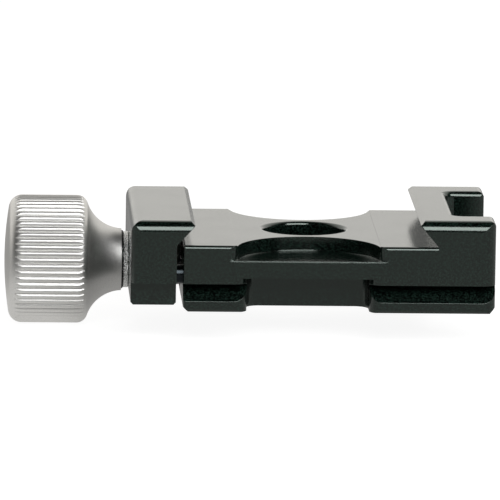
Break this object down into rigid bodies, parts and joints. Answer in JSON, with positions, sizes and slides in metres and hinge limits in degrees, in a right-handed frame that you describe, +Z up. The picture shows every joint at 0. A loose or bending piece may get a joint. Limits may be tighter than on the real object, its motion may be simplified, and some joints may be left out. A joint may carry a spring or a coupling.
{
  "type": "quick release clamp",
  "caption": "Quick release clamp with a screw knob: an undercut sliding jaw closes on a camera plate, over a counterbored body with a dovetail foot.",
  "frame": {"origin": "where the axis of the mounting hole meets the flat base", "axes": "+Z up out of the deck, +X across the channel from the knob towards the fixed jaw, +Y along the channel to the rear"},
  "size_m": [0.0782, 0.038, 0.0206],
  "materials": {
    "black_anodised": "bead blasted, black anodised",
    "clear_anodised": "turned, clear anodised",
    "screw_steel": "plain steel",
    "washer_steel": "satin",
    "black_nylon": "matt",
    "pin_steel": "ground",
    "spring_steel": "drawn wire"
  },
  "bodies": {
    "base": {"clamp_body": "black_anodised", "return_spring": "spring_steel"},
    "jaw": {"movable_jaw": "black_anodised", "guide_pin_front": "pin_steel", "guide_pin_rear": "pin_steel", "steel_washer": "washer_steel"},
    "knob": {"knob": "clear_anodised", "clamp_screw": "screw_steel", "sliding_washer": "black_nylon"}
  },
  "joints": [
    {"name": "jaw_slide", "type": "slide", "parent": "base", "child": "jaw", "axis": [1, 0, 0], "range_m": [-0.0035, 0.001], "deforming": ["return_spring"]},
    {"name": "knob_turn", "type": "hinge", "parent": "jaw", "child": "knob", "pos_m": [-0.0388, 0, 0.0053], "axis": [1, 0, 0], "range_deg": [-1260.1, 360.1]}
  ],
  "couplings": [
    {"joint": "knob_turn", "follows": "jaw_slide", "rad_per_m": 6283.2}
  ]
}
